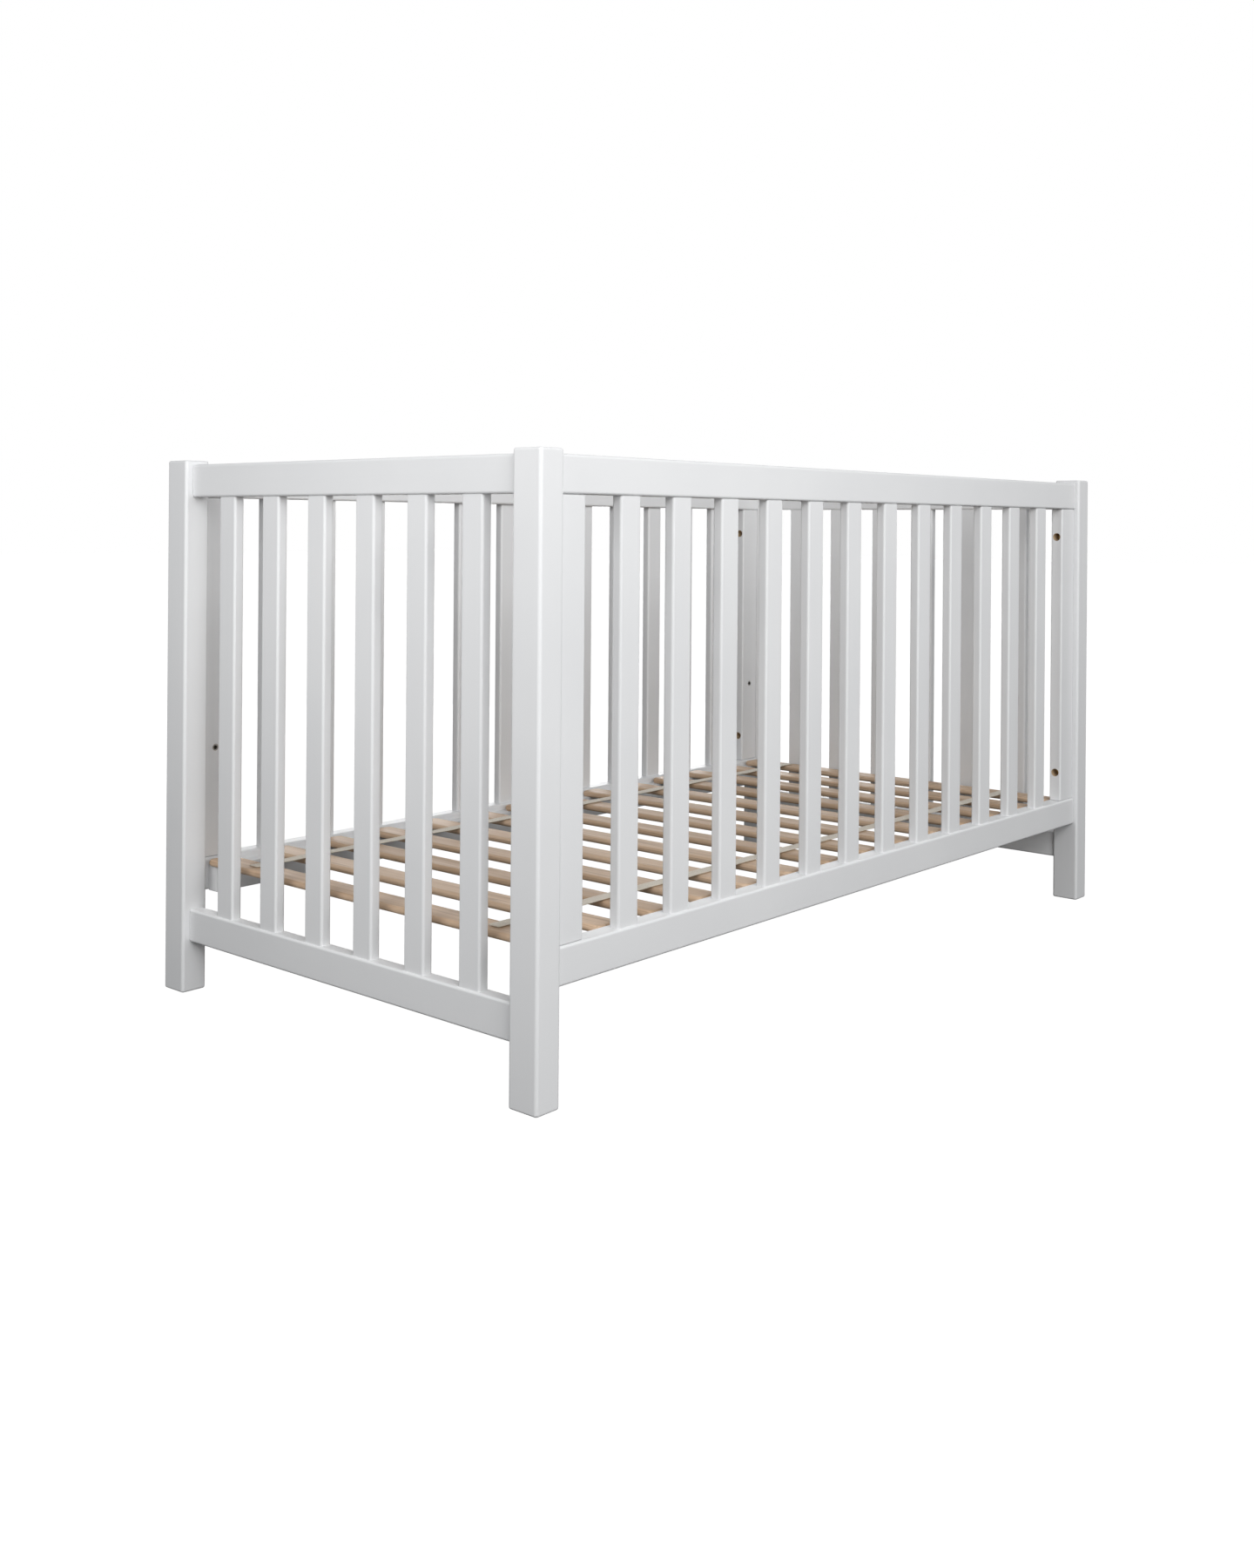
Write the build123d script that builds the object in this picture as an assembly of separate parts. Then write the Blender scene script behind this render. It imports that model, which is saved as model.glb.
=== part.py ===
from build123d import *
import os

# Wooden baby crib for a 700 x 1400 mm mattress, in millimetres.
# X runs along the crib, Y from the front side (-Y) to the back side, Z up.
# The origin is on the floor, at the middle of the crib.

# Overall size, over the posts
crib_length = 1476.0
crib_width = 776.0
post_height = 784.0

# Corner posts
post_x = 40.0
post_y = 48.0
post_round = 4.5
post_end_round = 3.0

# Rails
rail_height = 48.0
rail_round = 3.5
rail_end_round = 2.0
side_rail_thick = 28.0
end_rail_thick = 22.0
side_setback = 7.0           # side rail face behind the post's outer face
end_setback = 11.0           # end rail face behind the post's outer face
top_rail_drop = 6.0          # top rails below the post tops
side_bottom_rail_z = 142.0   # underside of the side bottom rails
end_bottom_rail_z = 74.0     # underside of the end bottom rails

# Stiles that close each side panel against its posts
stile_width = 49.0
stile_thick = 22.0
stile_round = 3.0
stile_end_round = 2.0

# Bars
side_bar_count = 12
end_bar_count = 6
bar_width = 38.0
bar_thick = 16.0
bar_round = 3.5
upright_step = 3.0           # bar and stile faces behind the rail's outer face

# Tenons and their mortises
tenon_length = 18.0
tenon_edge_step = 6.0        # shoulder on a tenon's narrow edges
tenon_face_step = 3.0        # shoulder on a tenon's wide faces
glue_gap = 0.1               # room around a tenon
glue_pocket = 1.0            # room past the tenon's end

# Panel bolts, through the stiles into the posts
bolt_diameter = 6.0
bolt_from_stile_end = 52.0
panel_head_diameter = 12.0
panel_head_height = 6.0
counterbore_gap = 1.0        # room around a bolt head in its counterbore
counterbore_depth = 24.0
bolt_reach = 20.0            # length of bolt inside the post
hole_gap = 0.4               # room around and past a bolt in wood
socket_across_flats = 5.0
socket_depth = 3.0
head_chamfer = 0.7

# Threaded inserts
insert_diameter = 10.0
post_insert_length = 15.0
height_insert_length = 12.0
insert_gap = 0.05            # room around an insert in the wood
thread_gap = 0.1             # room around a bolt in its insert

# Sprung base: ledges, slats and tapes
base_drop = 1.0              # slat tops below the top of the side bottom rails
base_lift = 195.0            # from the low position to the high one
slat_count = 14
slat_width = 44.0
slat_thick = 10.0
slat_edge_round = 4.5
slat_corner = 10.0
slat_end_gap = 4.0           # slat end to side rail
slat_run_gap = 13.0          # first slat to end rail
ledge_height = 38.0
ledge_thick = 22.0
ledge_end_gap = 12.0         # ledge end to post
ledge_corner = 3.0
ledge_round = 2.0
running_gap = 0.3            # room where the base slides past the frame
base_bolt_drop = 7.0         # base bolts below the middle of the side bottom rails
base_head_diameter = 13.0
base_head_height = 5.0
base_bolt_reach = 10.0       # length of bolt inside the rail's insert
tape_width = 20.0
tape_thick = 1.2
tape_offset = 252.0          # tape centre line from the middle of the base
tape_end_overlap = 8.0       # tape past the middle of the first and last slat
tape_gap = 0.2

round_limit = 0.9            # largest share of its wall that a rounding takes

# Planes worked out from the sizes above
post_centre_x = crib_length / 2 - post_x / 2
post_centre_y = crib_width / 2 - post_y / 2
post_inner_x = crib_length / 2 - post_x
post_inner_y = crib_width / 2 - post_y
side_plane_y = crib_width / 2 - side_setback - side_rail_thick / 2
side_inner_y = side_plane_y - side_rail_thick / 2
end_plane_x = crib_length / 2 - end_setback - end_rail_thick / 2
end_inner_x = end_plane_x - end_rail_thick / 2
side_bar_plane_y = crib_width / 2 - side_setback - upright_step - bar_thick / 2
end_bar_plane_x = crib_length / 2 - end_setback - upright_step - bar_thick / 2
stile_plane_y = crib_width / 2 - side_setback - upright_step - stile_thick / 2
top_rail_z = post_height - top_rail_drop - rail_height / 2
side_low_rail_z = side_bottom_rail_z + rail_height / 2
end_low_rail_z = end_bottom_rail_z + rail_height / 2
upper_shoulder_z = top_rail_z - rail_height / 2
side_shoulder_z = side_low_rail_z + rail_height / 2
end_shoulder_z = end_low_rail_z + rail_height / 2
stile_centre_x = post_inner_x - stile_width / 2
stile_edge_x = post_inner_x - stile_width
stile_inner_y = stile_plane_y - stile_thick / 2
panel_bolt_levels = [side_shoulder_z + bolt_from_stile_end, upper_shoulder_z - bolt_from_stile_end]
slat_top_z = side_shoulder_z - base_drop
ledge_top_z = slat_top_z - slat_thick
base_bolt_z = side_low_rail_z - base_bolt_drop
ledge_outer_y = min(side_inner_y, stile_inner_y) - running_gap
ledge_inner_y = ledge_outer_y - ledge_thick
first_slat_x = end_inner_x - slat_run_gap - slat_width / 2

sides = {"front": -1, "back": 1}
ends = {"left": -1, "right": 1}
corners = [(end, side) for end in ends.values() for side in sides.values()]


def spread(first, last, count):
    """Evenly spaced places from first to last."""
    return [first + (last - first) * i / (count - 1) for i in range(count)]


def bar_places(clear_half, count):
    """Bar centres that leave equal gaps across an opening of half width clear_half."""
    gap = (2 * clear_half - count * bar_width) / (count + 1)
    outer = clear_half - gap - bar_width / 2
    return spread(-outer, outer, count)


side_bar_x = bar_places(stile_edge_x, side_bar_count)
end_bar_y = bar_places(post_inner_y, end_bar_count)


def outward_x(end):
    """Turn +Z to point out of the crib, towards one end."""
    return Rot(0, 90 * end, 0)


def outward_y(side):
    """Turn +Z to point out of the crib, towards one side."""
    return Rot(-90 * side, 0, 0)


def face_side(side):
    """Turn +Y to point out of the crib, towards one side."""
    return Rot(0, 0, 0 if side > 0 else 180)


def stick(x, y, z, along, radius, end_radius=0.0):
    """A length of timber with its four long edges rounded, and its ends too where they have a radius."""
    timber = fillet(Box(x, y, z).edges().filter_by(along), radius)
    if end_radius > 0:
        rims = timber.edges().group_by(along)
        timber = fillet(rims[0] + rims[-1], min(end_radius, radius * round_limit))
    return timber


def round_bar(diameter, length):
    """A cylinder along +Z from the origin, for bolts, inserts and drilled holes."""
    return Cylinder(diameter / 2, length, align=(Align.CENTER, Align.CENTER, Align.MIN))


def upright_tenon(wide, thick, length, room=0.0):
    """The tenon of an upright, or with room its mortise: wide in X, thick in Y, centred on Z."""
    return Box(wide - 2 * tenon_edge_step + 2 * room, thick - 2 * tenon_face_step + 2 * room, length)


def upright(wide, thick, radius, low, high, end_radius=0.0):
    """A bar or stile between two rails, wide in X, with a tenon at each end."""
    body = Pos(0, 0, (low + high) / 2) * stick(wide, thick, high - low, Axis.Z, radius, end_radius)
    tenon = upright_tenon(wide, thick, tenon_length)
    lower = Pos(0, 0, low - tenon_length / 2) * tenon
    upper = Pos(0, 0, high + tenon_length / 2) * tenon
    return body + lower + upper


def upright_mortise(wide, thick, face, into):
    """The pocket for an upright's tenon, from a rail face at height face, going down or up."""
    depth = tenon_length + glue_pocket
    return Pos(0, 0, face + into * depth / 2) * upright_tenon(wide, thick, depth, glue_gap)


def end_rail_tenon(length, room=0.0):
    """The tenon of an end rail, or with room its mortise, along +Y from the origin."""
    thick = end_rail_thick - 2 * tenon_face_step + 2 * room
    tall = rail_height - 2 * tenon_edge_step + 2 * room
    return Pos(0, length / 2, 0) * Box(thick, length, tall)


def socket_bolt(head_diameter, head_height, shank_length):
    """A bolt along +Z: its shank starts at the origin, its socket head lies below."""
    head = round_bar(head_diameter, head_height)
    head = chamfer(head.edges().group_by(Axis.Z)[0], head_chamfer)
    head -= extrude(RegularPolygon(socket_across_flats / 2, 6, major_radius=False), socket_depth)
    return Pos(0, 0, -head_height) * head + round_bar(bolt_diameter, shank_length)


def threaded_insert(length):
    """A threaded insert along +Z from the origin."""
    return round_bar(insert_diameter, length) - round_bar(bolt_diameter + 2 * thread_gap, length)


def insert_hole(length):
    """The hole that an insert is pressed into, along +Z from the origin."""
    return round_bar(insert_diameter + 2 * insert_gap, length)


def corner_post(end, side):
    """A post with mortises for the end rails and holes for the panel bolts and their inserts."""
    timber = stick(post_x, post_y, post_height, Axis.Z, post_round, post_end_round)
    post = Pos(end * post_centre_x, side * post_centre_y, post_height / 2) * timber
    cuts = []
    for level in (top_rail_z, end_low_rail_z):
        mortise = face_side(side) * end_rail_tenon(tenon_length + glue_pocket, glue_gap)
        cuts.append(Pos(end * end_plane_x, side * post_inner_y, level) * mortise)
    for level in panel_bolt_levels:
        mouth = Pos(end * post_inner_x, side * stile_plane_y, level) * outward_x(end)
        cuts.append(mouth * insert_hole(post_insert_length))
        cuts.append(mouth * round_bar(bolt_diameter + 2 * hole_gap, bolt_reach + hole_gap))
    return post - cuts


def side_rail(side, level, face, into):
    """A side rail between two posts, mortised on one face for its stiles and bars."""
    timber = stick(2 * post_inner_x, side_rail_thick, rail_height, Axis.X, rail_round, rail_end_round)
    bar_mortise = upright_mortise(bar_width, bar_thick, face, into)
    stile_mortise = upright_mortise(stile_width, stile_thick, face, into)
    cuts = [Pos(x, side * side_bar_plane_y, 0) * bar_mortise for x in side_bar_x]
    cuts += [Pos(end * stile_centre_x, side * stile_plane_y, 0) * stile_mortise for end in ends.values()]
    return Pos(0, side * side_plane_y, level) * timber - cuts


def side_bottom_rail(side):
    """A side bottom rail, with the holes for the low position's inserts."""
    rail = side_rail(side, side_low_rail_z, side_shoulder_z, -1)
    mouths = [Pos(end * stile_centre_x, side * side_inner_y, base_bolt_z) for end in ends.values()]
    return rail - [mouth * outward_y(side) * insert_hole(height_insert_length) for mouth in mouths]


def end_rail(end, level, face, into):
    """An end rail between two posts, with a tenon at each end and mortises for its bars."""
    timber = stick(end_rail_thick, 2 * post_inner_y, rail_height, Axis.Y, rail_round, rail_end_round)
    for side in sides.values():
        timber += Pos(0, side * post_inner_y, 0) * face_side(side) * end_rail_tenon(tenon_length)
    mortise = Rot(0, 0, 90) * upright_mortise(bar_width, bar_thick, face, into)
    cuts = [Pos(end * end_bar_plane_x, y, 0) * mortise for y in end_bar_y]
    return Pos(end * end_plane_x, 0, level) * timber - cuts


def stile(end, side):
    """A stile, bored for its panel bolts and for the high position's insert."""
    timber = upright(stile_width, stile_thick, stile_round, side_shoulder_z, upper_shoulder_z,
                     stile_end_round)
    cuts = []
    for level in panel_bolt_levels:
        mouth = Pos(end * stile_edge_x, side * stile_plane_y, level) * outward_x(end)
        cuts.append(mouth * round_bar(panel_head_diameter + 2 * counterbore_gap, counterbore_depth))
        cuts.append(mouth * round_bar(bolt_diameter + 2 * hole_gap, stile_width))
    mouth = Pos(end * stile_centre_x, side * stile_inner_y, base_bolt_z + base_lift)
    cuts.append(mouth * outward_y(side) * insert_hole(height_insert_length))
    return Pos(end * stile_centre_x, side * stile_plane_y, 0) * timber - cuts


def side_bar(x, side):
    """A bar of a side panel."""
    bar = upright(bar_width, bar_thick, bar_round, side_shoulder_z, upper_shoulder_z)
    return Pos(x, side * side_bar_plane_y, 0) * bar


def end_bar(end, y):
    """A bar of an end panel."""
    bar = upright(bar_width, bar_thick, bar_round, end_shoulder_z, upper_shoulder_z)
    return Pos(end * end_bar_plane_x, y, 0) * Rot(0, 0, 90) * bar


def base_ledge(side):
    """A ledge under the slat ends, with open slots that drop over its bolts."""
    timber = Box(2 * (post_inner_x - ledge_end_gap), ledge_thick, ledge_height)
    timber = fillet(timber.edges().filter_by(Axis.Z).group_by(Axis.Y)[0], ledge_corner)
    timber = fillet(timber.faces().sort_by(Axis.Z)[0].edges(), min(ledge_round, ledge_corner * round_limit))
    middle = Pos(0, side * (ledge_outer_y + ledge_inner_y) / 2, 0)
    slot_width = bolt_diameter + 2 * running_gap
    cuts = []
    for end in ends.values():
        slot_top = middle * Pos(end * stile_centre_x, 0, base_bolt_z)
        cuts.append(slot_top * outward_y(side) * Cylinder(slot_width / 2, 2 * ledge_thick))
        cuts.append(slot_top * Pos(0, 0, -ledge_height / 2) * Box(slot_width, 2 * ledge_thick, ledge_height))
    return middle * Pos(0, 0, ledge_top_z - ledge_height / 2) * face_side(side) * timber - cuts


def slat(x):
    """A slat across the base, with rounded corners and bullnosed edges."""
    length = 2 * (side_inner_y - slat_end_gap)
    blank = extrude(RectangleRounded(slat_width, length, slat_corner), slat_thick)
    rims = blank.edges().group_by(Axis.Z)[0] + blank.edges().group_by(Axis.Z)[-1]
    return Pos(x, 0, ledge_top_z) * fillet(rims, min(slat_edge_round, slat_thick / 2 * round_limit))


def tape(side):
    """A webbing tape laid along the slats."""
    strip = Box(2 * (first_slat_x + tape_end_overlap), tape_width, tape_thick)
    return Pos(0, side * tape_offset, slat_top_z + tape_gap + tape_thick / 2) * strip


def panel_bolt(end, side, level):
    """A bolt from a stile's counterbore into the post."""
    seat_x = stile_edge_x + counterbore_depth
    bolt = socket_bolt(panel_head_diameter, panel_head_height, post_inner_x - seat_x + bolt_reach)
    return Pos(end * seat_x, side * stile_plane_y, level) * outward_x(end) * bolt


def post_insert(end, side, level):
    """The threaded insert that a panel bolt screws into."""
    place = Pos(end * post_inner_x, side * stile_plane_y, level)
    return place * outward_x(end) * threaded_insert(post_insert_length)


def height_insert(end, side, face_y, level):
    """A threaded insert for one of the base's two heights."""
    place = Pos(end * stile_centre_x, side * face_y, level)
    return place * outward_y(side) * threaded_insert(height_insert_length)


def base_bolt(end, side):
    """A bolt that carries a ledge, screwed into the insert of the low position."""
    seat_y = ledge_inner_y - running_gap
    bolt = socket_bolt(base_head_diameter, base_head_height, side_inner_y - seat_y + base_bolt_reach)
    return Pos(end * stile_centre_x, side * seat_y, base_bolt_z) * outward_y(side) * bolt


nodes = {}
for side_name, side in sides.items():
    for end_name, end in ends.items():
        nodes[f"post_{side_name}_{end_name}"] = [corner_post(end, side)]
        nodes[f"{side_name}_{end_name}_stile"] = [stile(end, side)]
    nodes[f"{side_name}_top_rail"] = [side_rail(side, top_rail_z, upper_shoulder_z, 1)]
    nodes[f"{side_name}_bottom_rail"] = [side_bottom_rail(side)]
    for number, x in enumerate(side_bar_x, 1):
        nodes[f"{side_name}_bar_{number:02d}"] = [side_bar(x, side)]
    nodes[f"{side_name}_base_ledge"] = [base_ledge(side)]

for end_name, end in ends.items():
    nodes[f"{end_name}_end_top_rail"] = [end_rail(end, top_rail_z, upper_shoulder_z, 1)]
    nodes[f"{end_name}_end_bottom_rail"] = [end_rail(end, end_low_rail_z, end_shoulder_z, -1)]
    for number, y in enumerate(end_bar_y, 1):
        nodes[f"{end_name}_end_bar_{number}"] = [end_bar(end, y)]

bolt_places = [(end, side, level) for end, side in corners for level in panel_bolt_levels]
height_places = [(side_inner_y, base_bolt_z), (stile_inner_y, base_bolt_z + base_lift)]
nodes["base_slats"] = [slat(x) for x in spread(-first_slat_x, first_slat_x, slat_count)]
nodes["slat_tapes"] = [tape(side) for side in sides.values()]
nodes["panel_bolts"] = [panel_bolt(*place) for place in bolt_places]
nodes["panel_bolt_inserts"] = [post_insert(*place) for place in bolt_places]
nodes["base_height_inserts"] = [height_insert(*corner, *place)
                                for corner in corners for place in height_places]
nodes["base_bolts"] = [base_bolt(*corner) for corner in corners]

os.makedirs("parts", exist_ok=True)
for name, pieces in nodes.items():
    solids = [piece.solid() for piece in pieces]
    export_step(Compound(children=solids) if len(solids) > 1 else solids[0], f"parts/{name}.step")

side_gap = side_bar_x[1] - side_bar_x[0] - bar_width
end_gap = end_bar_y[1] - end_bar_y[0] - bar_width
print(f"{len(nodes)} nodes, gaps between bars {side_gap:.2f} mm on the sides, {end_gap:.2f} mm on the ends")
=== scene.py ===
import math
import bpy
import numpy as np
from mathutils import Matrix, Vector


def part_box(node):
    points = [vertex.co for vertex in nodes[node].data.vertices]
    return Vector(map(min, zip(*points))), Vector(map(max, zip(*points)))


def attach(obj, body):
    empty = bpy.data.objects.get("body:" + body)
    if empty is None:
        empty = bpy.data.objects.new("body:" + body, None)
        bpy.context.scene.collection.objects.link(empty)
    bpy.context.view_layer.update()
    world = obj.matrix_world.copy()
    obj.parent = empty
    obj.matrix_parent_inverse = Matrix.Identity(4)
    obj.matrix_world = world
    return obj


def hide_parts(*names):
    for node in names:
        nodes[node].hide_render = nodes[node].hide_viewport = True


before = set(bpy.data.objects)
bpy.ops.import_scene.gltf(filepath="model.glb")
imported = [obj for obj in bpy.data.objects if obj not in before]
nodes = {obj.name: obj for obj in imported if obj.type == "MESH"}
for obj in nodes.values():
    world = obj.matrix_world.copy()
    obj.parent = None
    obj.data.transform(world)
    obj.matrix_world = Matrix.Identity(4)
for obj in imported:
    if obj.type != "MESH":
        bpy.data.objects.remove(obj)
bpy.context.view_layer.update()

scene = bpy.context.scene
print("crib loaded:", len(nodes), "timbers and fittings")


# shader helpers

noiseSpan = (0.3, 0.7)            # nearly all values of a noise texture lie between these


def startMaterial(name):
    material = bpy.data.materials.new(name)
    material.use_nodes = True
    tree = material.node_tree
    surface = tree.nodes["Principled BSDF"]
    return material, tree, surface


def addNode(tree, kind, links=None, values=None, **settings):
    # one node, its settings, fixed input values and incoming links
    node = tree.nodes.new(kind)
    for key, value in settings.items():
        setattr(node, key, value)
    for key, value in (values or {}).items():
        node.inputs[key].default_value = value
    for key, socket in (links or {}).items():
        tree.links.new(socket, node.inputs[key])
    return node


def mathNode(tree, operation, first, second=None):
    # first and second are sockets or plain numbers
    node = tree.nodes.new("ShaderNodeMath")
    node.operation = operation
    for index, value in enumerate((first, second)):
        if value is None:
            continue
        if isinstance(value, (int, float)):
            node.inputs[index].default_value = value
        else:
            tree.links.new(value, node.inputs[index])
    return node.outputs[0]


def mixColour(tree, factor, first, second):
    # first and second are sockets or colours
    node = tree.nodes.new("ShaderNodeMix")
    node.data_type = "RGBA"
    for socket, value in ((node.inputs[0], factor), (node.inputs[6], first), (node.inputs[7], second)):
        if isinstance(value, bpy.types.NodeSocket):
            tree.links.new(value, socket)
        else:
            socket.default_value = (*value, 1.0)
    return node.outputs[2]


def scaledPlace(tree, scale):
    # Object coordinates, stretched by scale on each axis
    place = addNode(tree, "ShaderNodeTexCoord")
    return addNode(tree, "ShaderNodeMapping", links={"Vector": place.outputs["Object"]},
                   values={"Scale": scale}).outputs["Vector"]


def noise(tree, vector, scale, detail=3.0, roughness=0.5, distortion=0.0):
    return addNode(tree, "ShaderNodeTexNoise", links={"Vector": vector},
                   values={"Scale": scale, "Detail": detail, "Roughness": roughness,
                           "Distortion": distortion}).outputs["Fac"]


def mapRange(tree, value, old, new=(0.0, 1.0)):
    # old and new are the two ends of a range
    return addNode(tree, "ShaderNodeMapRange", links={"Value": value},
                   values={"From Min": old[0], "From Max": old[1], "To Min": new[0],
                           "To Max": new[1]}).outputs["Result"]


def bump(tree, height, distance, strength=1.0, under=None):
    links = {"Height": height}
    if under is not None:
        links["Normal"] = under
    return addNode(tree, "ShaderNodeBump", links=links,
                   values={"Distance": distance, "Strength": strength}).outputs["Normal"]


# white lacquer on planed timber: the grain shows through as faint long ripples

whiteLacquer = {
    "colour": ((0.800, 0.806, 0.815), (0.835, 0.840, 0.846)),
    "patchScale": 5.0,            # slow tone drift, per metre
    "patchDetail": 3.0,
    "grainAlong": 5.0,            # ripples per metre along the timber
    "grainAcross": 190.0,         # ripples per metre across it
    "grainDetail": 4.0,
    "grainRoughness": 0.6,
    "grainWarp": 0.3,
    "grainDepth": 0.00005,
    "sprayScale": 700.0,          # fine texture of the sprayed coat, per metre
    "sprayDetail": 2.0,
    "sprayDepth": 0.000012,
    "roughness": (0.46, 0.56),
    "coat": 0.06,
    "coatRoughness": 0.28,
}

drilledWood = {
    "colour": ((0.52, 0.38, 0.23), (0.66, 0.52, 0.35)),
    "roughness": 0.8,
}

# painted shade: a thin dark line along each joint, standing in for the shadow in the gap where two timbers
# meet
jointShadeLine = {
    "colour": (0.33, 0.335, 0.34),
    "reach": 0.0016,
    "strength": 0.62,
}


def jointShadeMask(tree, place, axis, level):
    # strength of the painted shade line: full on the joint's plane, falling evenly to 0 at the line's reach
    # from it; X and Y count on both sides
    along = addNode(tree, "ShaderNodeSeparateXYZ", links={"Vector": place}).outputs[axis]
    if axis != "Z":
        along = mathNode(tree, "ABSOLUTE", along)
    away = mathNode(tree, "ABSOLUTE", mathNode(tree, "SUBTRACT", along, level))
    return mapRange(tree, away, (0.0, jointShadeLine["reach"]), (jointShadeLine["strength"], 0.0))


def holeMask(tree, place, hole):
    # 1 inside drilled holes: nearer to a hole's axis than its radius, and no deeper than its floor
    axes = addNode(tree, "ShaderNodeSeparateXYZ", links={"Vector": place}).outputs
    across = mathNode(tree, "SUBTRACT", mathNode(tree, "ABSOLUTE", axes[hole["across"]]), hole["offset"])
    drops = [mathNode(tree, "ABSOLUTE", mathNode(tree, "SUBTRACT", axes["Z"], z)) for z in hole["levels"]]
    drop = drops[0]
    for other in drops[1:]:
        drop = mathNode(tree, "MINIMUM", drop, other)
    square = mathNode(tree, "ADD", mathNode(tree, "MULTIPLY", across, across),
                      mathNode(tree, "MULTIPLY", drop, drop))
    near = mathNode(tree, "LESS_THAN", mathNode(tree, "SQRT", square), hole["radius"])
    depth = mathNode(tree, "ABSOLUTE", axes[hole["along"]])
    return mathNode(tree, "MULTIPLY", near, mathNode(tree, "LESS_THAN", depth, hole["floor"]))


def lacquerMaterial(name, along, holes=(), joints=()):
    look = whiteLacquer
    material, tree, surface = startMaterial(name)
    stretch = [look["grainAcross"]] * 3
    stretch["XYZ".index(along)] = look["grainAlong"]
    plain = scaledPlace(tree, (1.0, 1.0, 1.0))
    grain = noise(tree, scaledPlace(tree, stretch), 1.0, look["grainDetail"], look["grainRoughness"],
                  look["grainWarp"])
    spray = noise(tree, plain, look["sprayScale"], look["sprayDetail"])
    drift = noise(tree, plain, look["patchScale"], look["patchDetail"])
    colour = mixColour(tree, mapRange(tree, drift, noiseSpan), *look["colour"])
    shine = mapRange(tree, grain, noiseSpan, look["roughness"])
    normal = bump(tree, grain, look["grainDepth"])
    normal = bump(tree, spray, look["sprayDepth"], under=normal)
    for hole in holes:
        inside = holeMask(tree, plain, hole)
        drilled = mixColour(tree, grain, *drilledWood["colour"])
        colour = mixColour(tree, inside, colour, drilled)
        rough = mathNode(tree, "MULTIPLY", inside, drilledWood["roughness"])
        shine = mathNode(tree, "MAXIMUM", shine, rough)
    # painted shade: the lacquer darkened along each joint plane
    for axis, level in joints:
        colour = mixColour(tree, jointShadeMask(tree, plain, axis, level), colour, jointShadeLine["colour"])
    tree.links.new(colour, surface.inputs["Base Color"])
    tree.links.new(shine, surface.inputs["Roughness"])
    tree.links.new(normal, surface.inputs["Normal"])
    surface.inputs["Coat Weight"].default_value = look["coat"]
    surface.inputs["Coat Roughness"].default_value = look["coatRoughness"]
    return material


# sizes of the drilled holes, as in the timbers
fittings = {
    "boltHeadRadius": 0.006,
    "counterboreRadius": 0.007,
    "insertRadius": 0.005,
    "insertLength": 0.012,
    "margin": 0.0002,
}

stileLow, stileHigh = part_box("back_right_stile")
boltLow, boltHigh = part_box("panel_bolts")
insertLow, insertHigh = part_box("base_height_inserts")
panelBoltHoles = {
    "along": "X", "floor": stileHigh.x,
    "across": "Y", "offset": (stileLow.y + stileHigh.y) / 2,
    "levels": (boltLow.z + fittings["boltHeadRadius"], boltHigh.z - fittings["boltHeadRadius"]),
    "radius": fittings["counterboreRadius"] + fittings["margin"],
}
heightHoles = {
    "along": "Y", "floor": stileLow.y + fittings["insertLength"] + fittings["margin"],
    "across": "X", "offset": (stileLow.x + stileHigh.x) / 2,
    "levels": (insertLow.z + fittings["insertRadius"], insertHigh.z - fittings["insertRadius"]),
    "radius": fittings["insertRadius"] + fittings["margin"],
}


# bare slat wood: long streaks, darker year lines, a tone of its own for each slat

slatWood = {
    "pale": (0.745, 0.545, 0.383),
    "deep": (0.53, 0.362, 0.232),
    "line": (0.39, 0.255, 0.155),
    # each noise: waves per metre along and across the slat, detail, warp
    "streak": {"along": 3.0, "across": 140.0, "detail": 4.0, "warp": 0.4},
    "ring": {"along": 1.1, "across": 42.0, "detail": 2.0, "warp": 0.8},
    "pore": {"along": 30.0, "across": 900.0, "detail": 2.0, "warp": 0.0},
    "noiseRoughness": 0.55,
    "poreDepth": 0.00008,
    "roughness": (0.50, 0.66),
    "deepShare": (0.15, 0.75),    # least and most of the deep colour in a streak
    "toneSpread": 0.42,           # between one slat and another
    "seed": 3.7,
    "grainShift": 7.0,            # metres, so that no two slats repeat the grain
    "ringBands": 9.0,
    "lineSpan": (0.78, 1.0),      # part of each band that is a dark year line
    "lineStrength": 0.55,
    "slatCount": 14,
    "slatWide": 0.044,
}


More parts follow.
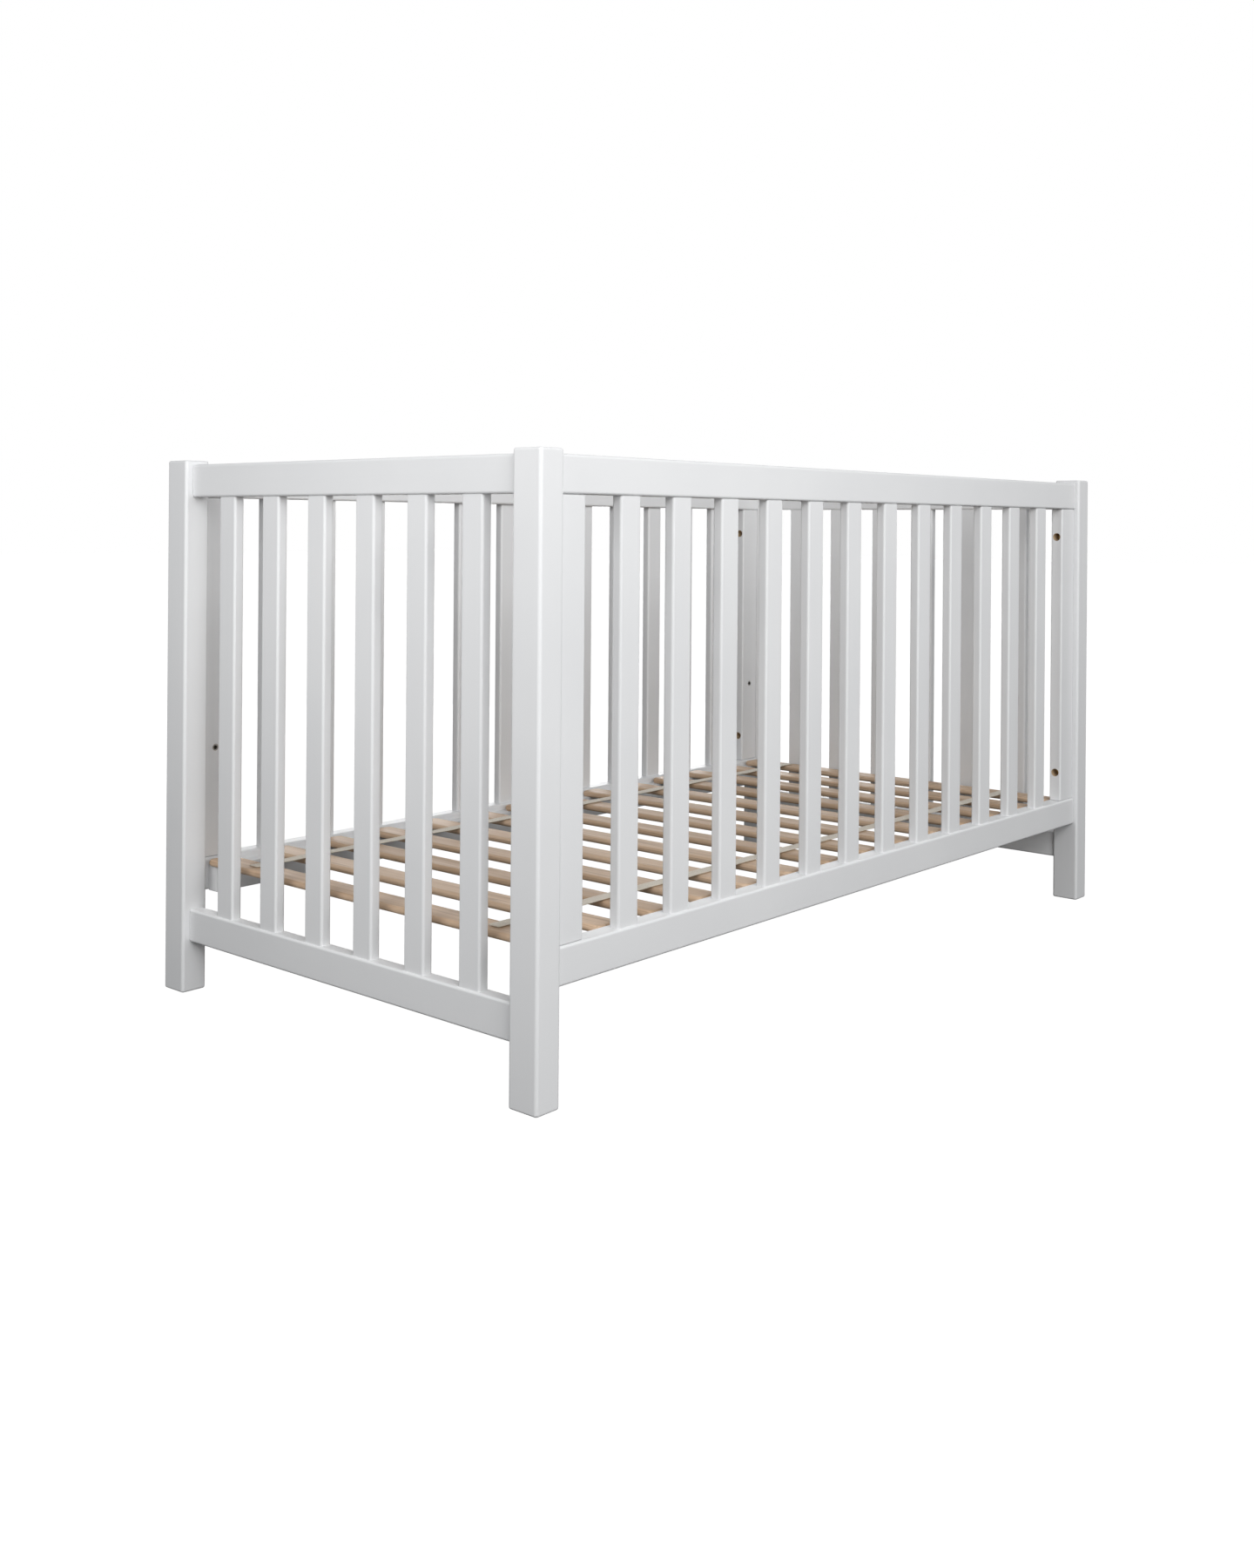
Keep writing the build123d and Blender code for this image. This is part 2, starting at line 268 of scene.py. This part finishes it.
def slatMaterial():
    look = slatWood
    material, tree, surface = startMaterial("slatWood")
    low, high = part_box("base_slats")
    pitch = (high.x - low.x - look["slatWide"]) / (look["slatCount"] - 1)
    plain = scaledPlace(tree, (1.0, 1.0, 1.0))
    alongX = addNode(tree, "ShaderNodeSeparateXYZ", links={"Vector": plain}).outputs["X"]
    # slat number from its place along the crib, then one random tone and one random shift for each number
    fromFirst = mathNode(tree, "SUBTRACT", alongX, low.x)
    number = mathNode(tree, "ROUND", mathNode(tree, "DIVIDE", fromFirst, pitch))
    seeded = mathNode(tree, "ADD", number, look["seed"])
    chance = addNode(tree, "ShaderNodeTexWhiteNoise", noise_dimensions="1D", links={"W": seeded})
    shift = addNode(tree, "ShaderNodeVectorMath", operation="SCALE", links={0: chance.outputs["Color"]},
                    values={"Scale": look["grainShift"]})
    place = addNode(tree, "ShaderNodeVectorMath", operation="ADD",
                    links={0: plain, 1: shift.outputs["Vector"]}).outputs["Vector"]

    def stretched(kind):
        wave = look[kind]
        mapped = addNode(tree, "ShaderNodeMapping", links={"Vector": place},
                         values={"Scale": (wave["across"], wave["along"], wave["across"])})
        vector = mapped.outputs["Vector"]
        return noise(tree, vector, 1.0, wave["detail"], look["noiseRoughness"], wave["warp"])

    streak = stretched("streak")
    bands = mathNode(tree, "MULTIPLY", stretched("ring"), look["ringBands"])
    bands = mathNode(tree, "PINGPONG", bands, 1.0)
    lines = mapRange(tree, bands, look["lineSpan"], (0.0, look["lineStrength"]))
    tone = mapRange(tree, chance.outputs["Value"], (0.0, 1.0), (-look["toneSpread"], look["toneSpread"]))
    blend = mathNode(tree, "ADD", mapRange(tree, streak, noiseSpan, look["deepShare"]), tone)
    blend = addNode(tree, "ShaderNodeClamp", links={"Value": blend}).outputs["Result"]
    colour = mixColour(tree, blend, look["pale"], look["deep"])
    colour = mixColour(tree, lines, colour, look["line"])
    shine = mapRange(tree, streak, noiseSpan, look["roughness"])
    normal = bump(tree, stretched("pore"), look["poreDepth"])
    tree.links.new(colour, surface.inputs["Base Color"])
    tree.links.new(shine, surface.inputs["Roughness"])
    tree.links.new(normal, surface.inputs["Normal"])
    return material


# plated metal for bolts and inserts

plating = {
    "brass": {"colour": ((0.50, 0.36, 0.16), (0.66, 0.50, 0.24)), "roughness": (0.28, 0.46)},
    "zinc": {"colour": ((0.46, 0.46, 0.45), (0.60, 0.60, 0.58)), "roughness": (0.30, 0.48)},
    "staple": {"colour": ((0.58, 0.58, 0.57), (0.72, 0.72, 0.70)), "roughness": (0.24, 0.40)},
    "patchScale": 240.0,
    "patchDetail": 3.0,
    "scratchScale": 1800.0,
    "scratchDetail": 2.0,
    "scratchDepth": 0.00001,
}


def platedMaterial(name, look):
    material, tree, surface = startMaterial(name)
    plain = scaledPlace(tree, (1.0, 1.0, 1.0))
    patch = mapRange(tree, noise(tree, plain, plating["patchScale"], plating["patchDetail"]), noiseSpan)
    tree.links.new(mixColour(tree, patch, *look["colour"]), surface.inputs["Base Color"])
    tree.links.new(mapRange(tree, patch, (0.0, 1.0), look["roughness"]), surface.inputs["Roughness"])
    scratch = noise(tree, plain, plating["scratchScale"], plating["scratchDetail"])
    tree.links.new(bump(tree, scratch, plating["scratchDepth"]), surface.inputs["Normal"])
    surface.inputs["Metallic"].default_value = 1.0
    return material


# dress the timbers: the grain follows each timber's length

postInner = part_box("post_back_right")[0]
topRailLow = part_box("back_top_rail")[0]
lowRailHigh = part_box("back_bottom_rail")[1]
# joint planes, where the lacquer gets its painted shade line
postSide = ("X", postInner.x)
postEnd = ("Y", postInner.y)
stileEnds = (("Z", topRailLow.z), ("Z", lowRailHigh.z))

lacquerX = lacquerMaterial("whiteLacquerAlongX", "X", joints=(postSide,))
lacquerY = lacquerMaterial("whiteLacquerAlongY", "Y", joints=(postEnd,))
lacquerZ = lacquerMaterial("whiteLacquerAlongZ", "Z")
lacquerStile = lacquerMaterial("whiteLacquerStile", "Z", (panelBoltHoles, heightHoles),
                               (postSide, *stileEnds))
lacquerLowRail = lacquerMaterial("whiteLacquerLowRail", "X", (heightHoles,), (postSide,))
brass = platedMaterial("yellowPlate", plating["brass"])
zinc = platedMaterial("zincPlate", plating["zinc"])
slats = slatMaterial()


def finishFor(name):
    if name == "base_slats":
        return slats
    if name.endswith("bolts"):
        return brass
    if name.endswith("inserts"):
        return zinc
    if "stile" in name:
        return lacquerStile
    if "_end_" in name and name.endswith("rail"):
        return lacquerY
    if name in ("front_bottom_rail", "back_bottom_rail"):
        return lacquerLowRail
    if name.endswith(("rail", "ledge")):
        return lacquerX
    return lacquerZ


for nodeName, node in nodes.items():
    node.data.materials.clear()
    node.data.materials.append(finishFor(nodeName))
print("lacquer, slat wood and plating on", len(nodes), "nodes")


# webbing tapes: a woven strip laid on the slat tops, easing down a little between them

tapeShape = {
    "width": 0.020,
    "thick": 0.0009,
    "lift": 0.00012,              # over the slat top
    "selvedge": 0.00022,          # extra height of the two woven edges
    "selvedgeWide": 0.0022,
    "sag": 0.0004,                # middle of a span between two slats
    "flatShare": 0.38,            # of a slat's width, flat on each side of its middle
    "across": 24,
    "alongStep": 0.0022,
    "wander": 0.0004,             # slow sideways drift
    "wanderKnots": 9,
    "wanderSmooth": 40,           # steps averaged on each side
    "seed": 11,
}

webbing = {
    "colour": ((0.66, 0.580, 0.460), (0.79, 0.715, 0.595)),
    "dirt": (0.60, 0.52, 0.405),
    "yarn": 0.0011,               # spacing of the cross yarns
    "warp": 0.0009,               # spacing of the long yarns
    "weaveShare": 0.35,           # height of the crossings, beside the ribs' 1
    "fuzzScale": 900.0,
    "fuzzShare": 0.5,
    "shadeSpan": (0.2, 1.8),      # of ribs, crossings and fuzz together
    "dirtScale": 14.0,
    "dirtSpan": (0.52, 0.75),
    "dirtStrength": 0.35,
    "noiseDetail": 3.0,
    "depth": 0.00016,
    "roughness": 0.88,
    "sheen": 0.35,
    "sheenRoughness": 0.5,
}


def webbingMaterial():
    # plain weave: the product of a sine across and a sine along, on the tape's own UV in metres
    look = webbing
    material, tree, surface = startMaterial("creamWebbing")
    uv = addNode(tree, "ShaderNodeUVMap", uv_map="tapeMap").outputs["UV"]
    axes = addNode(tree, "ShaderNodeSeparateXYZ", links={"Vector": uv}).outputs

    def yarn(socket, spacing):
        return mathNode(tree, "SINE", mathNode(tree, "MULTIPLY", socket, 2 * math.pi / spacing))

    weave = mathNode(tree, "MULTIPLY", yarn(axes["X"], 2 * look["warp"]), yarn(axes["Y"], 2 * look["yarn"]))
    ribs = mathNode(tree, "ABSOLUTE", yarn(axes["Y"], 2 * look["yarn"]))
    height = mathNode(tree, "ADD", mathNode(tree, "MULTIPLY", weave, look["weaveShare"]), ribs)
    fuzz = noise(tree, uv, look["fuzzScale"], look["noiseDetail"])
    patch = noise(tree, uv, look["dirtScale"], look["noiseDetail"])
    # painted shade: the weave's hollows darker and its raised yarns lighter, with a random fuzz tone on top
    shade = mapRange(tree, mathNode(tree, "ADD", height, fuzz), look["shadeSpan"])
    colour = mixColour(tree, shade, *look["colour"])
    soiled = mapRange(tree, patch, look["dirtSpan"], (0.0, look["dirtStrength"]))
    colour = mixColour(tree, soiled, colour, look["dirt"])
    tree.links.new(colour, surface.inputs["Base Color"])
    relief = mathNode(tree, "ADD", height, mathNode(tree, "MULTIPLY", fuzz, look["fuzzShare"]))
    tree.links.new(bump(tree, relief, look["depth"]), surface.inputs["Normal"])
    surface.inputs["Roughness"].default_value = look["roughness"]
    surface.inputs["Sheen Weight"].default_value = look["sheen"]
    surface.inputs["Sheen Roughness"].default_value = look["sheenRoughness"]
    return material


def gridQuads(index):
    # neighbouring rows and columns of point numbers make the quads
    return np.stack([index[:-1, :-1], index[:-1, 1:], index[1:, 1:], index[1:, :-1]], axis=-1).reshape(-1, 4)


def newMesh(name, points, faces):
    mesh = bpy.data.meshes.new(name)
    mesh.from_pydata(points.reshape(-1, 3).tolist(), [], faces)
    mesh.update()
    return mesh


def gridMesh(name, points):
    # points is rows x columns x 3
    rows, columns = points.shape[:2]
    index = np.arange(rows * columns).reshape(rows, columns)
    return newMesh(name, points, gridQuads(index).tolist())


def addPiece(name, mesh, material, body):
    piece = bpy.data.objects.new(name, mesh)
    scene.collection.objects.link(piece)
    mesh.materials.append(material)
    mesh.polygons.foreach_set("use_smooth", np.ones(len(mesh.polygons), dtype=bool))
    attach(piece, body)
    return piece


slatLow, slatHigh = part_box("base_slats")
tapeLow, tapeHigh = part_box("slat_tapes")
slatHalf = slatWood["slatWide"] / 2
slatCentres = np.linspace(slatLow.x + slatHalf, slatHigh.x - slatHalf, slatWood["slatCount"])
tapeCentre = tapeHigh.y - tapeShape["width"] / 2


def tapeSag(x):
    # the share of the way from slat edge to slat edge, as a raised cosine dip of depth sag; 0 over a slat
    shape = tapeShape
    nearest = np.abs(x[:, None] - slatCentres[None, :]).min(axis=1)
    pitch = slatCentres[1] - slatCentres[0]
    flat = slatWood["slatWide"] * shape["flatShare"]
    share = np.clip((nearest - flat) / (pitch / 2 - flat), 0.0, 1.0)
    return shape["sag"] * (0.5 - 0.5 * np.cos(np.pi * share))


def tapeMesh(name, side, seed):
    # u runs across the tape and v along it: height is the slat top less the sag, plus a raised selvedge
    shape = tapeShape
    rng = np.random.default_rng(seed)
    count = int((tapeHigh.x - tapeLow.x) / shape["alongStep"]) + 1
    x = np.linspace(tapeLow.x, tapeHigh.x, count)
    u = np.linspace(-0.5, 0.5, shape["across"] + 1)
    knots = np.linspace(tapeLow.x, tapeHigh.x, shape["wanderKnots"])
    drift = np.interp(x, knots, rng.uniform(-1, 1, len(knots)) * shape["wander"])
    window = 2 * shape["wanderSmooth"] + 1
    padded = np.pad(drift, shape["wanderSmooth"], mode="edge")
    drift = np.convolve(padded, np.ones(window) / window, mode="valid")
    edge = np.clip((np.abs(u) * shape["width"] - shape["width"] / 2 + shape["selvedgeWide"])
                   / shape["selvedgeWide"], 0.0, 1.0)
    raised = shape["selvedge"] * np.sin(np.pi * edge)
    points = np.zeros((count, len(u), 3))
    points[..., 0] = x[:, None]
    points[..., 1] = side * tapeCentre + drift[:, None] + u[None, :] * shape["width"]
    points[..., 2] = slatHigh.z + shape["lift"] + shape["thick"] - tapeSag(x)[:, None] + raised[None, :]
    mesh = gridMesh(name, points)
    corner = np.zeros(len(mesh.loops), dtype=np.int32)
    mesh.loops.foreach_get("vertex_index", corner)
    flatPlace = np.stack(np.broadcast_arrays(u[None, :] * shape["width"], x[:, None]), axis=-1).reshape(-1, 2)
    layer = mesh.uv_layers.new(name="tapeMap")
    layer.data.foreach_set("uv", flatPlace[corner].astype(np.float32).ravel())
    return mesh


# staples: a wire crown across the tape, its legs turned down into the slat

stapleShape = {
    "crown": 0.0105,
    "wire": 0.00045,              # half the wire's thickness
    "leg": 0.0022,
    "bend": 0.0007,
    "bendPoints": 5,
    "proud": 0.4,                 # of the wire's half thickness, over the tape
    "turnDegrees": 9.0,
    "slip": 0.0018,
    "around": 8,
    "seed": 23,
}


def staplePath():
    # a flat-topped arch: down leg, quarter bend, crown, quarter bend, down leg
    shape = stapleShape
    half, bend, leg = shape["crown"] / 2, shape["bend"], shape["leg"]
    turn = np.linspace(0.0, np.pi / 2, shape["bendPoints"])
    left = np.stack([-half + bend - bend * np.cos(turn), -bend + bend * np.sin(turn)], axis=1)
    right = left[::-1] * [-1.0, 1.0]
    return np.concatenate([[[-half, -leg]], left, right, [[half, -leg]]])


def stapleMesh(name, side, seed):
    # a round wire carried along the path, repeated on each slat with its own small turn and slip
    shape = stapleShape
    rng = np.random.default_rng(seed)
    path = staplePath()
    step = np.gradient(path, axis=0)
    step /= np.linalg.norm(step, axis=1, keepdims=True)
    normal = np.stack([-step[:, 1], step[:, 0]], axis=1)
    angle = np.linspace(0.0, 2 * np.pi, shape["around"], endpoint=False)
    wire = shape["wire"]
    tube = np.zeros((len(path), shape["around"], 3))
    tube[..., 0] = wire * np.sin(angle)[None, :]
    tube[..., 1] = path[:, 0, None] + wire * np.cos(angle)[None, :] * normal[:, 0, None]
    tube[..., 2] = path[:, 1, None] + wire * np.cos(angle)[None, :] * normal[:, 1, None]
    top = slatHigh.z + tapeShape["lift"] + tapeShape["thick"] + wire * shape["proud"]
    spots = []
    for centre in slatCentres:
        turn = math.radians(rng.uniform(-1, 1) * shape["turnDegrees"])
        slipX, slipY = rng.uniform(-1, 1, 2) * shape["slip"]
        cosine, sine = math.cos(turn), math.sin(turn)
        spot = tube.copy()
        spot[..., 0] = centre + slipX + tube[..., 0] * cosine - tube[..., 1] * sine
        spot[..., 1] = side * tapeCentre + slipY + tube[..., 0] * sine + tube[..., 1] * cosine
        spot[..., 2] = top + tube[..., 2]
        spots.append(spot)
    index = np.arange(len(path) * shape["around"]).reshape(len(path), shape["around"])
    ring = np.concatenate([index, index[:, :1]], axis=1)
    quads = np.roll(gridQuads(ring)[:, ::-1], 1, axis=1)  # turned to face out of the wire
    faces = []
    for number in range(len(spots)):
        start = number * index.size
        faces += (quads + start).tolist()
        faces += [(index[0] + start).tolist(), (index[-1][::-1] + start).tolist()]
    return newMesh(name, np.stack(spots), faces)


creamWebbing = webbingMaterial()
stapleSteel = platedMaterial("stapleSteel", plating["staple"])
for number, (sideName, side) in enumerate((("front", -1), ("back", 1))):
    tapeName = f"{sideName}_slat_tape"
    stapleName = f"{sideName}_tape_staples"
    tape = addPiece(tapeName, tapeMesh(tapeName, side, tapeShape["seed"] + number), creamWebbing, "slat_base")
    thickness = tape.modifiers.new("tapeThickness", "SOLIDIFY")
    thickness.thickness = tapeShape["thick"]
    thickness.offset = -1.0
    staples = addPiece(stapleName, stapleMesh(stapleName, side, stapleShape["seed"] + number), stapleSteel,
                       "slat_base")
    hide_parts("slat_tapes")
print("two webbing tapes stapled to", len(slatCentres), "slats")


# studio: a pale floor, a white surround and broad soft lights

studio = {
    "floorSize": 60.0,
    "floorPoints": 3,             # along each edge
    "floorGrey": 0.06,
    "floorGlow": 1.0,
    "sky": (0.97, 0.985, 1.0),
    "skyStrength": 0.25,
    "lights": {
        "front": {"place": (0.25, -2.2, 1.62), "aim": (0.25, 0.37, 0.65), "size": (2.4, 0.7), "power": 19.5},
        "left": {"place": (-1.88, -0.1, 1.0), "aim": (-0.74, -0.02, 0.7), "size": (1.0, 0.7), "power": 9.2},
        "high": {"place": (-1.7, -2.05, 1.9), "aim": (0.2, 0.0, 0.55), "size": (1.6, 1.0), "power": 22.5},
        "low": {"place": (-1.7, -3.1, 1.1), "aim": (0.0, 0.1, 0.4), "size": (2.2, 1.2), "power": 32.0},
        "back": {"place": (2.3, 2.5, 0.7), "aim": (0.0, 0.1, 0.45), "size": (2.6, 1.0), "power": 58.0},
    },
}


def makeFloor():
    # a flat square; seen by the camera it glows white, like the surround, so that no horizon shows
    half = studio["floorSize"] / 2
    count = studio["floorPoints"]
    across = np.linspace(-half, half, count)
    points = np.zeros((count, count, 3))
    points[..., 0] = across[None, :]
    points[..., 1] = across[:, None]
    mesh = gridMesh("studioFloor", points)
    floor = bpy.data.objects.new("studioFloor", mesh)
    scene.collection.objects.link(floor)
    material, tree, surface = startMaterial("paleFloor")
    tree.nodes.remove(surface)
    grey = studio["floorGrey"]
    matte = addNode(tree, "ShaderNodeBsdfDiffuse", values={"Color": (grey, grey, grey, 1.0)})
    glow = addNode(tree, "ShaderNodeEmission", values={"Strength": studio["floorGlow"]})
    lit = addNode(tree, "ShaderNodeAddShader", links={0: matte.outputs[0], 1: glow.outputs[0]})
    rays = addNode(tree, "ShaderNodeLightPath")
    seen = addNode(tree, "ShaderNodeMixShader", links={0: rays.outputs["Is Camera Ray"], 1: matte.outputs[0],
                                                       2: lit.outputs[0]})
    tree.links.new(seen.outputs[0], tree.nodes["Material Output"].inputs["Surface"])
    mesh.materials.append(material)


def makeSurround():
    # plain white behind the crib, and a softer pale sky for its light
    world = bpy.data.worlds.new("studioSurround")
    world.use_nodes = True
    tree = world.node_tree
    light = tree.nodes["Background"]
    light.inputs["Color"].default_value = (*studio["sky"], 1.0)
    light.inputs["Strength"].default_value = studio["skyStrength"]
    white = addNode(tree, "ShaderNodeBackground", values={"Color": (1.0, 1.0, 1.0, 1.0), "Strength": 1.0})
    rays = addNode(tree, "ShaderNodeLightPath")
    seen = addNode(tree, "ShaderNodeMixShader", links={0: rays.outputs["Is Camera Ray"], 1: light.outputs[0],
                                                       2: white.outputs[0]})
    tree.links.new(seen.outputs[0], tree.nodes["World Output"].inputs["Surface"])
    scene.world = world


def aimAt(thing, place, target):
    # turn so that the local -Z axis points from place to target
    away = np.array(place) - np.array(target)
    flat = math.hypot(away[0], away[1])
    thing.location = place
    thing.rotation_euler = (math.atan2(flat, away[2]), 0.0, math.atan2(away[0], -away[1]))


def makeLights():
    for name, setup in studio["lights"].items():
        lamp = bpy.data.lights.new(name, "AREA")
        lamp.shape = "RECTANGLE"
        lamp.size, lamp.size_y = setup["size"]
        lamp.energy = setup["power"]
        holder = bpy.data.objects.new(name, lamp)
        scene.collection.objects.link(holder)
        aimAt(holder, setup["place"], setup["aim"])


makeFloor()
makeSurround()
makeLights()
scene.view_settings.view_transform = "Standard"
print("studio ready")


# camera: level with the top rails, near the front left corner, upright lines kept upright by the shift

view = {
    "place": (-2.0359, -1.6553, 0.6914),
    "turnDegrees": 49.372,        # to the right of straight ahead
    "rollDegrees": 0.430,
    "lens": 35.666,
    "sensor": 36.0,
    "shift": (-0.00878, -0.16411),
    "clip": (0.05, 200.0),
}

lens = bpy.data.cameras.new("photoView")
lens.lens = view["lens"]
lens.sensor_width = view["sensor"]
lens.shift_x, lens.shift_y = view["shift"]
lens.clip_start, lens.clip_end = view["clip"]
camera = bpy.data.objects.new("photoView", lens)
scene.collection.objects.link(camera)
camera.location = view["place"]
camera.rotation_euler = (math.pi / 2, -math.radians(view["rollDegrees"]), -math.radians(view["turnDegrees"]))
scene.camera = camera
print("camera set")

bpy.context.view_layer.update()
